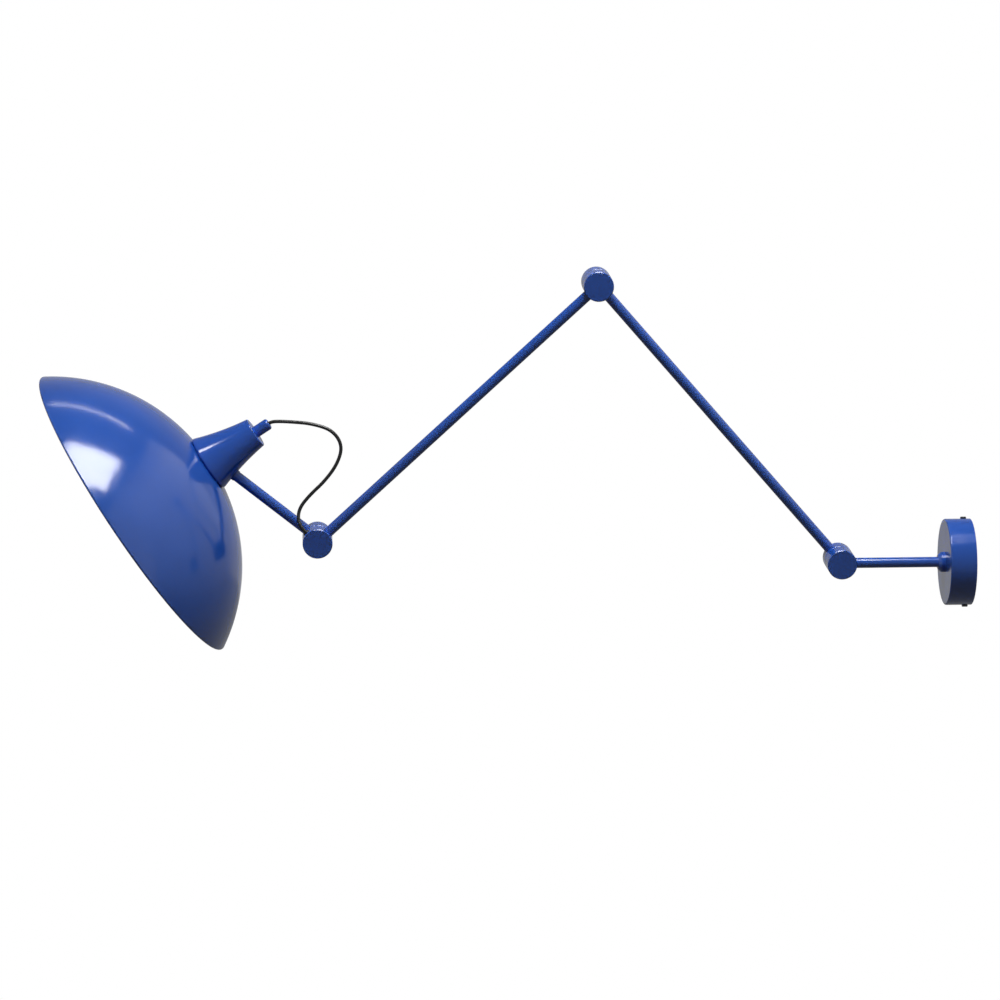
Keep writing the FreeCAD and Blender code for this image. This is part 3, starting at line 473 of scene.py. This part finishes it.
keep_finish("black_moulding", moulding("black_moulding_finish", linear(18, 18, 19),
                                       linear(29, 29, 31), shine=(0.22, 0.36)))
keep_finish("white_moulding", moulding("white_moulding_finish", linear(226, 224, 216),
                                       linear(216, 213, 203), shine=(0.30, 0.45)))
keep_finish("ceramic", ceramic())
keep_finish("friction_fibre", friction_fibre())

# %% [markdown]
# ### Opal glass
# The bulb's glass is coated white inside, so it looks milky: light enters a little way and comes
# out again, and only the smooth outside mirrors the room.

# %% Opal glass
OPAL_PALE = linear(240, 238, 230)
OPAL_CLOUD = linear(233, 230, 220)
OPAL_ROUGHNESS = (0.06, 0.12)
OPAL_WAVES = 0.000004
OPAL_MILKINESS = 0.35
OPAL_REACH = 0.004           # how far the light gets in


def opal_glass():
    """Milky glass with a smooth outside."""
    material, tree, shader, place = start_finish("opal_glass_finish")
    cloud = noise(tree, place, scale=26.0, detail=3.0)
    plug(tree, shader, colour=two_tone(tree, spread(tree, cloud, 0, 1), OPAL_PALE, OPAL_CLOUD),
         roughness=spread(tree, cloud, *OPAL_ROUGHNESS))
    relief(tree, shader, noise(tree, place, scale=60.0, detail=1.0), OPAL_WAVES)
    shader.inputs["Subsurface Weight"].default_value = OPAL_MILKINESS
    shader.inputs["Subsurface Scale"].default_value = OPAL_REACH
    return material


keep_finish("opal_glass", opal_glass())

# %% [markdown]
# ### Which part wears what
# The model's record names a slot for every part, and the finishes are kept under the same names.
# Only the dome, the node called shade, gets a finish of its own, for its white inside.

# %% Put the finishes on
OWN_FINISH = {"shade": "dome_paint"}

slot_of = {part["node"]: part["material_slot"] for part in frame["record"]["subparts"]}
for name, piece in frame["nodes"].items():
    piece.data.materials.clear()
    piece.data.materials.append(finishes[OWN_FINISH.get(name, slot_of[name])])
for cord in (upper_cord, lower_cord):
    cord.data.materials.append(finishes["black_cord"])
print(len(finishes), "finishes on", len(slot_of), "parts")

# %% [markdown]
# ## Studio
# The photograph shows the lamp on plain white, lit by one broad window overhead. The world is white
# wherever the camera, a mirror or a glass sees it. Everything else gets only a weak
# light from it, stronger from above than from below, so that the lamp keeps its dark undersides.

# %% World
SKY_BELOW = 0.02
SKY_ABOVE = 0.19
SKY_LOWEST = -0.6            # the light grows between these two heights, out of -1 to 1
SKY_HIGHEST = 0.8


def seen_rays(tree):
    """1 for rays from the camera, or mirrored or let through by something it sees."""
    ray = add_node(tree, "ShaderNodeLightPath").outputs
    shown = larger(tree, ray["Is Camera Ray"], ray["Is Glossy Ray"])
    return larger(tree, shown, ray["Is Transmission Ray"])


world = bpy.data.worlds.new("studio")
bpy.context.scene.world = world
world.use_nodes = True
sky = world.node_tree
sky.nodes.clear()
towards = add_node(sky, "ShaderNodeTexCoord").outputs["Generated"]
sky_height = add_node(sky, "ShaderNodeSeparateXYZ", {"Vector": towards}).outputs["Z"]
weak = add_node(sky, "ShaderNodeBackground", {
    "Strength": spread(sky, sky_height, SKY_BELOW, SKY_ABOVE, SKY_LOWEST, SKY_HIGHEST)})
plain = add_node(sky, "ShaderNodeBackground", {"Color": WHITE, "Strength": 1.0})
shown_sky = add_node(sky, "ShaderNodeMixShader", {
    0: seen_rays(sky), 1: weak.outputs[0], 2: plain.outputs[0]})
add_node(sky, "ShaderNodeOutputWorld", {"Surface": shown_sky.outputs[0]})
print("sky from", SKY_BELOW, "below to", SKY_ABOVE, "above")

# %% [markdown]
# ### Lamps
# A square softbox hangs overhead, slightly towards the camera: the tops come out bright and the
# faces that look at the camera stay deep. A weak soft window on the wall's side fills the edges
# that look that way. Neither shows in a reflection, because the cards of the next cell do that.

# %% Lamps
WINDOW_MIDDLE = (-0.25, -0.45)
WINDOW_HEIGHT = 1.73
WINDOW_SIDE = 0.90
WINDOW_WATTS = 35.0
SIDE_WINDOW_PLACE = (2.2, -0.1, 0.9)
SIDE_WINDOW_AIM = (-0.55, 0.0, 0.1)
SIDE_WINDOW_SIZE = (1.6, 1.0)
SIDE_WINDOW_WATTS = 3.0


def soft_light(name, place, target, width, height, watts):
    """A rectangular softbox that looks at its target."""
    data = bpy.data.lights.new(name, "AREA")
    data.shape = "RECTANGLE"
    data.size = width
    data.size_y = height
    data.energy = watts
    light = bpy.data.objects.new(name, data)
    light.location = place
    light.rotation_euler = (Vector(target) - Vector(place)).to_track_quat("-Z", "Y").to_euler()
    light.visible_glossy = False
    bpy.context.scene.collection.objects.link(light)
    print(name, "of", watts, "W")


soft_light("overhead_window", (*WINDOW_MIDDLE, WINDOW_HEIGHT), (*WINDOW_MIDDLE, 0.0),
           WINDOW_SIDE, WINDOW_SIDE, WINDOW_WATTS)
soft_light("side_window", SIDE_WINDOW_PLACE, SIDE_WINDOW_AIM, *SIDE_WINDOW_SIZE,
           SIDE_WINDOW_WATTS)

# %% [markdown]
# ### Cards for the reflections
# Gloss paint shows its surroundings, so the surroundings are laid out as flat cards that only
# reflections see. The bright one at the softbox, the small one beyond its end and the thin
# one behind it draw the highlights. The grey ones stand round the lamp like the sides of a room,
# and keep the paint from mirroring white everywhere, which would rob it of its depth. The
# one on the wall's side pales upwards.

# %% Cards
ROOM_LEFT = -5.0
ROOM_RIGHT = 2.6
ROOM_FRONT = -3.6
ROOM_BACK = 3.6
ROOM_BOTTOM = -1.0
ROOM_TOP = 4.0

WINDOW_REACH = WINDOW_SIDE / 2
WINDOW_X, WINDOW_Y = WINDOW_MIDDLE

# Height, low and high x, low and high y, strength.
LEVEL_CARDS = {
    "window_card": (WINDOW_HEIGHT, WINDOW_X - WINDOW_REACH, WINDOW_X + WINDOW_REACH,
                    WINDOW_Y - WINDOW_REACH, WINDOW_Y + WINDOW_REACH, 20.0),
    "end_card": (WINDOW_HEIGHT, -1.16, -0.94, -0.58, -0.28, 20.0),
    "tube_card": (WINDOW_HEIGHT, -1.0, 0.15, 1.105, 1.155, 14.0),
    "ceiling_card": (ROOM_TOP, ROOM_LEFT, ROOM_RIGHT, ROOM_FRONT, ROOM_BACK, 0.30),
    "low_card": (ROOM_BOTTOM, ROOM_LEFT, ROOM_RIGHT, ROOM_FRONT, ROOM_BACK, 0.28),
}
# Start and end as seen from above, bottom and top, strength at the bottom and at the top.
UPRIGHT_CARDS = {
    "front_card": ((ROOM_LEFT, ROOM_FRONT), (ROOM_RIGHT, ROOM_FRONT), ROOM_BOTTOM, ROOM_TOP,
                   0.38, 0.38),
    "back_card": ((ROOM_LEFT, ROOM_BACK), (ROOM_RIGHT, ROOM_BACK), ROOM_BOTTOM, ROOM_TOP,
                  0.48, 0.20),
    "wall_side_card": ((ROOM_RIGHT, -1.6), (ROOM_RIGHT, ROOM_BACK), -1.5, 3.15, 0.20, 1.40),
}


def level_corners(height, low_x, high_x, low_y, high_y):
    """Corners of a sheet that lies level."""
    return [(low_x, low_y, height), (high_x, low_y, height), (high_x, high_y, height),
            (low_x, high_y, height)]


def upright_corners(start, end, bottom, top):
    """Corners of a sheet that stands upright."""
    return [(*start, bottom), (*end, bottom), (*end, top), (*start, top)]


def flat_sheet(name, corners):
    """A sheet with one face."""
    mesh = bpy.data.meshes.new(name)
    mesh.from_pydata(corners, [], [(0, 1, 2, 3)])
    sheet = bpy.data.objects.new(name, mesh)
    bpy.context.scene.collection.objects.link(sheet)
    return sheet


def card(name, corners, strength, top_strength=None):
    """A card that only reflections see, with another strength at its top where given."""
    sheet = flat_sheet(name, corners)
    for kind in ("camera", "diffuse", "transmission", "volume_scatter", "shadow"):
        setattr(sheet, "visible_" + kind, False)
    material, tree, shader, place = start_finish(name + "_finish")
    tree.nodes.remove(shader)
    glow = add_node(tree, "ShaderNodeEmission", {"Color": WHITE, "Strength": strength})
    if top_strength is not None:
        height = add_node(tree, "ShaderNodeSeparateXYZ", {"Vector": place}).outputs["Z"]
        rising = spread(tree, height, strength, top_strength, corners[0][2], corners[2][2])
        tree.links.new(rising, glow.inputs["Strength"])
    tree.links.new(glow.outputs[0], tree.nodes["Material Output"].inputs["Surface"])
    sheet.data.materials.append(material)
    print(name, "of strength", strength)


for name, (*extent, strength) in LEVEL_CARDS.items():
    card(name, level_corners(*extent), strength)
for name, (*extent, strength, top_strength) in UPRIGHT_CARDS.items():
    card(name, upright_corners(*extent), strength, top_strength)

# %% [markdown]
# ### Floor
# The floor is pale, and carries the lamp's shadow. Away from the lamp it fades to the white of the
# background, so that no edge of it shows. What isn't seen of it directly is darker, so that it
# doesn't light the lamp from below.

# %% Floor
FLOOR_HEIGHT = -1.2
FLOOR_REACH = 6.0
BELOW_LAMP = (-0.55, 0.0, FLOOR_HEIGHT)
FADE_START = 1.0
FADE_END = 2.0
FLOOR_PALE = (0.86, 0.86, 0.86, 1)
FLOOR_GRAIN = (0.84, 0.84, 0.84, 1)
FLOOR_UNSEEN = (0.12, 0.12, 0.12, 1)
FLOOR_ROUGHNESS = 0.9
FLOOR_GLOW = 0.35

floor = flat_sheet("floor", level_corners(FLOOR_HEIGHT, -FLOOR_REACH, FLOOR_REACH,
                                          -FLOOR_REACH, FLOOR_REACH))


def floor_finish():
    """Pale below the lamp, white further out, and dark for every ray that isn't seen."""
    material, tree, shader, place = start_finish("floor_finish")
    grain = noise(tree, place, scale=3.0, detail=4.0)
    plug(tree, shader, colour=two_tone(tree, spread(tree, grain, 0, 1), FLOOR_PALE, FLOOR_GRAIN))
    shader.inputs["Roughness"].default_value = FLOOR_ROUGHNESS
    shader.inputs["Emission Color"].default_value = WHITE
    shader.inputs["Emission Strength"].default_value = FLOOR_GLOW
    distance = add_node(tree, "ShaderNodeVectorMath", {0: place, 1: BELOW_LAMP},
                        operation="DISTANCE").outputs["Value"]
    white = add_node(tree, "ShaderNodeEmission", {"Color": WHITE, "Strength": 1.0})
    shown = add_node(tree, "ShaderNodeMixShader", {
        0: spread(tree, distance, 0, 1, FADE_START, FADE_END), 1: shader.outputs[0],
        2: white.outputs[0]})
    unseen = add_node(tree, "ShaderNodeBsdfDiffuse", {"Color": FLOOR_UNSEEN})
    mixed = add_node(tree, "ShaderNodeMixShader", {
        0: seen_rays(tree), 1: unseen.outputs[0], 2: shown.outputs[0]})
    tree.links.new(mixed.outputs[0], tree.nodes["Material Output"].inputs["Surface"])
    return material


floor.data.materials.append(floor_finish())
print("floor", -FLOOR_HEIGHT, "m below the wall mount")

# %% [markdown]
# ## Picture
# Colours are shown as they are, without a film look.

# %% Look of the picture
bpy.context.scene.view_settings.view_transform = "Standard"
print("view transform", bpy.context.scene.view_settings.view_transform)
